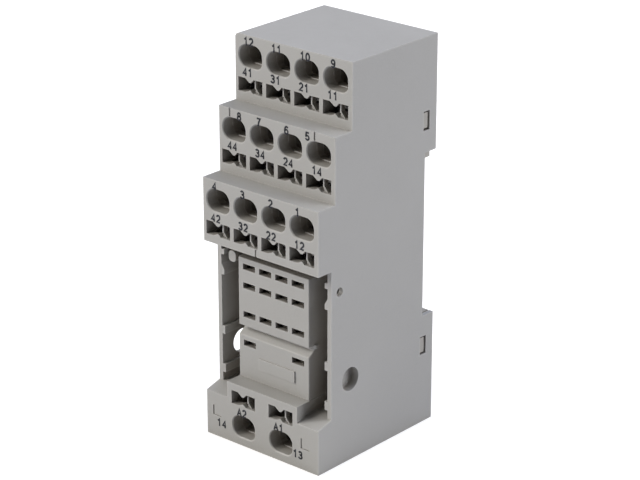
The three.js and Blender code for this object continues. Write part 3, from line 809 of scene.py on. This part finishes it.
def plastic(name, colour, roughness):
    material, tree, shader, spot = new_material(name)
    cloud = mapped(tree, noise(tree, spot, CLOUD_SCALE, 3.0), 0.0, 1.0)
    speck = mapped(tree, noise(tree, spot, SPECK_SCALE, 2.0), 0.0, 1.0)
    base = mixed(tree, cloud, *[tone(colour, factor) for factor in CLOUD_TONES])
    base = mixed(tree, speck, base, tone(colour, SPECK_TONE))
    # Painted shade: the colour is darkened in hollows, found by ambient occlusion, where shade falls.
    for distance, tint in PAINTED_SHADE_TINTS:
        painted_shade_mask = mapped(tree, shade_share(tree, distance), 0.0, 1.0, *PAINTED_SHADE_OPENNESS)
        base = mixed(tree, painted_shade_mask, mixed(tree, 1.0, base, tint, "MULTIPLY"), base)
    # Painted highlight: the colour is made lighter along edges, standing in for light caught there.
    lighter_edges = mapped(tree, edge_share(tree, EDGE_HIGHLIGHT_RADIUS), 0.0, EDGE_HIGHLIGHT_SHARE, 0.0, 1.0)
    base = mixed(tree, lighter_edges, base, tone(colour, EDGE_HIGHLIGHT_TONE))
    tree.links.new(base, shader.inputs["Base Color"])
    low, high = [roughness + spread for spread in POLISH_SPREAD]
    polish = mapped(tree, noise(tree, spot, POLISH_SCALE, 3.0), low, high)
    tree.links.new(polish, shader.inputs["Roughness"])
    grain = bump(tree, noise(tree, spot, GRAIN_SCALE, 3.0, 0.6), GRAIN_HEIGHT, GRAIN_STRENGTH)
    ripple = bump(tree, noise(tree, spot, RIPPLE_SCALE, 2.0), RIPPLE_HEIGHT, RIPPLE_STRENGTH, grain)
    tree.links.new(ripple, shader.inputs["Normal"])
    shader.inputs["IOR"].default_value = PLASTIC_IOR
    return material


BRUSH_SCALES = (9000.0, 260.0, 260.0)
METAL_CLOUD_SCALE = 240.0
METAL_CLOUD_TONE = 0.9
# Metal colour made paler along edges: its reach in metres, its greatest share and its tone.
METAL_PALE_EDGE_RADIUS = 0.00012
METAL_PALE_EDGE_SHARE = 0.5
METAL_PALE_EDGE_TONE = 1.25
METAL_POLISH_SPREAD = (-0.07, 0.1)
BRUSH_HEIGHT = 0.00001
BRUSH_STRENGTH = 0.4


def metal(name, colour, roughness, tint):
    material, tree, shader, spot = new_material(name)
    stretch = tree.nodes.new("ShaderNodeMapping")
    stretch.inputs["Scale"].default_value = BRUSH_SCALES
    tree.links.new(spot, stretch.inputs["Vector"])
    lines = noise(tree, stretch.outputs[0], 1.0, 3.0)
    cloud = mapped(tree, noise(tree, spot, METAL_CLOUD_SCALE, 3.0), 0.0, 1.0)
    base = mixed(tree, cloud, tone(colour, METAL_CLOUD_TONE), tone(tint, 1.0))
    lighter_edges = mapped(tree, edge_share(tree, METAL_PALE_EDGE_RADIUS), 0.0, METAL_PALE_EDGE_SHARE, 0.0, 1.0)
    base = mixed(tree, lighter_edges, base, tone(colour, METAL_PALE_EDGE_TONE))
    tree.links.new(base, shader.inputs["Base Color"])
    low, high = [roughness + spread for spread in METAL_POLISH_SPREAD]
    tree.links.new(mapped(tree, lines, low, high), shader.inputs["Roughness"])
    tree.links.new(bump(tree, lines, BRUSH_HEIGHT, BRUSH_STRENGTH), shader.inputs["Normal"])
    shader.inputs["Metallic"].default_value = 1.0
    return material


INK_CLOUD_SCALE = 3000.0
INK_TONES = (0.8, 1.5)
INK_POLISH_SCALE = 900.0
INK_ROUGHNESS = (0.45, 0.6)
INK_GRAIN_SCALE = 6000.0
INK_GRAIN_HEIGHT = 0.00001
INK_GRAIN_STRENGTH = 0.2


def ink(name, colour):
    material, tree, shader, spot = new_material(name)
    cloud = mapped(tree, noise(tree, spot, INK_CLOUD_SCALE, 2.0), 0.0, 1.0)
    base = mixed(tree, cloud, *[tone(colour, factor) for factor in INK_TONES])
    tree.links.new(base, shader.inputs["Base Color"])
    polish = mapped(tree, noise(tree, spot, INK_POLISH_SCALE), *INK_ROUGHNESS)
    tree.links.new(polish, shader.inputs["Roughness"])
    grain = bump(tree, noise(tree, spot, INK_GRAIN_SCALE), INK_GRAIN_HEIGHT, INK_GRAIN_STRENGTH)
    tree.links.new(grain, shader.inputs["Normal"])
    return material


HOUSING_LOOK = plastic("housing_plastic", (0.43, 0.425, 0.415), 0.46)
CARRIER_LOOK = plastic("carrier_plastic", (0.42, 0.415, 0.405), 0.46)
COVER_LOOK = plastic("cover_plastic", (0.415, 0.40, 0.37), 0.5)
LATCH_LOOK = plastic("latch_plastic", (0.33, 0.34, 0.34), 0.42)
COPPER_LOOK = metal("tinned_copper", (0.62, 0.58, 0.50), 0.32, (0.66, 0.60, 0.50))
STEEL_LOOK = metal("spring_steel", (0.58, 0.59, 0.61), 0.26, (0.62, 0.61, 0.60))
INK_LOOK = ink("marking_ink", (0.012, 0.013, 0.02))

# ---- The pieces -------------------------------------------------------------------------
housing = shaded(make_housing())
finished(housing, "housing_shell", "socket", HOUSING_LOOK, ["housing"])
carrier = shaded(make_carrier())
finished(carrier, "plug_block", "socket", CARRIER_LOOK, ["contact_carrier"])
spring = shaded(make_latch_spring(), 60)
finished(spring, "return_spring", "socket", STEEL_LOOK, ["latch_spring"])
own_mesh(spring)

# For each row: the figures over its wire entries as (text, x from the entry's middle), those
# under them, and how far those are from the entry's middle in x and from the row's top.
ROW_LABELS = [
    ([("12", -0.2), ("11", -0.25), ("10", -0.2), ("9", -0.45)], ["41", "31", "21", "11"], (-0.55, 7.7)),
    ([("8", 1.65), ("7", -0.6), ("6", -0.7), ("5", -2.7)], ["44", "34", "24", "14"], (-0.27, 7.85)),
    ([("4", -0.7), ("3", -0.55), ("2", -0.55), ("1", -0.95)], ["42", "32", "22", "12"], (-0.45, 8.1)),
]
UPPER_LABEL_DROP = 1.3
FOOT_LABELS = [("A2", -5.35, 7.42), ("A1", 4.75, 7.42), ("14", -11.05, 3.3), ("13", 9.95, 3.05)]
labels = []
for row, (uppers, lowers, (lower_x, lower_drop)) in zip(ROWS, ROW_LABELS):
    for x, (upper, upper_x), lower in zip(ROW_X, uppers, lowers):
        labels += numeral(upper, x + upper_x, row["top"] - UPPER_LABEL_DROP, row["front"])
        labels += numeral(lower, x + lower_x, row["top"] - lower_drop, row["front"])
for text, x, z in FOOT_LABELS:
    labels += numeral(text, x, z, FRONT)
finished(join(labels), "terminal_numerals", "socket", INK_LOOK)

for name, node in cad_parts.items():
    if node.hide_render:
        continue
    look = STEEL_LOOK
    if name.startswith("contact_"):
        look = COPPER_LOOK
    elif name == "rear_cover":
        look = COVER_LOOK
    elif name == "rail_latch":
        look = LATCH_LOOK
    for slot in node.material_slots:
        slot.material = look

# ---- Floor and light --------------------------------------------------------------------
AMBIENT = 0.06
FLOOR_HALF = 4.0
FLOOR_TONES = ((0.60, 0.60, 0.60, 1), (0.64, 0.64, 0.64, 1))
FLOOR_CLOUD_SCALE = 3.0
FLOOR_GLOW = 0.65
LIGHT_DISTANCE = 2.5
# Each light's name, its direction from the part, its strength, its side in metres and its colour.
LIGHTS = [
    ("key", (-0.60, -0.65, 0.52), 0.94, 1.4, (1.0, 0.968, 0.91)),
    ("right", (0.75, 0.45, 0.45), 0.61, 1.4, (0.985, 0.985, 1.0)),
    ("top", (-0.05, 0.35, 0.95), 0.50, 2.0, (0.88, 0.95, 1.16)),
]

floor_mesh = bpy.data.meshes.new("floor")
corners = [(-1, -1), (1, -1), (1, 1), (-1, 1)]
floor_mesh.from_pydata([(x * FLOOR_HALF, y * FLOOR_HALF, 0) for x, y in corners], [], [(0, 1, 2, 3)])
floor = linked("floor", floor_mesh)
material, tree, shader, spot = new_material("floor")
floor_base = mixed(tree, noise(tree, spot, FLOOR_CLOUD_SCALE), *FLOOR_TONES)
tree.links.new(floor_base, shader.inputs["Base Color"])
shader.inputs["Roughness"].default_value = 0.9
shader.inputs["Specular IOR Level"].default_value = 0.1
seen = tree.nodes.new("ShaderNodeLightPath")
shader.inputs["Emission Color"].default_value = (1.0, 1.0, 1.0, 1.0)
glow = mapped(tree, seen.outputs["Is Camera Ray"], 0.0, FLOOR_GLOW, 0.0, 1.0)
tree.links.new(glow, shader.inputs["Emission Strength"])
floor_mesh.materials.append(material)

world = bpy.data.worlds.new("studio")
bpy.context.scene.world = world
world.use_nodes = True
studio = world.node_tree
backdrop = studio.nodes["Background"]
backdrop.inputs["Color"].default_value = (1.0, 1.0, 1.0, 1.0)
seen = studio.nodes.new("ShaderNodeLightPath")
share = studio.nodes.new("ShaderNodeMapRange")
share.inputs["To Min"].default_value = AMBIENT
share.inputs["To Max"].default_value = 1.0
studio.links.new(seen.outputs["Is Camera Ray"], share.inputs["Value"])
studio.links.new(share.outputs["Result"], backdrop.inputs["Strength"])


def area_light(name, direction, strength, size, colour):
    """A soft light in that direction. Strength 1 makes a white face turned to it white."""
    data = bpy.data.lights.new(name, "AREA")
    data.shape = "SQUARE"
    data.size = size
    data.color = colour
    data.energy = strength * (math.pi * LIGHT_DISTANCE) ** 2
    light = linked(name, data)
    towards = Vector(direction).normalized()
    light.location = towards * LIGHT_DISTANCE + Vector((0, 0, HEIGHT / 2 * MM))
    light.rotation_mode = "QUATERNION"
    light.rotation_quaternion = (-towards).to_track_quat("-Z", "Y")


for light in LIGHTS:
    area_light(*light)

bpy.context.scene.view_settings.view_transform = "Standard"
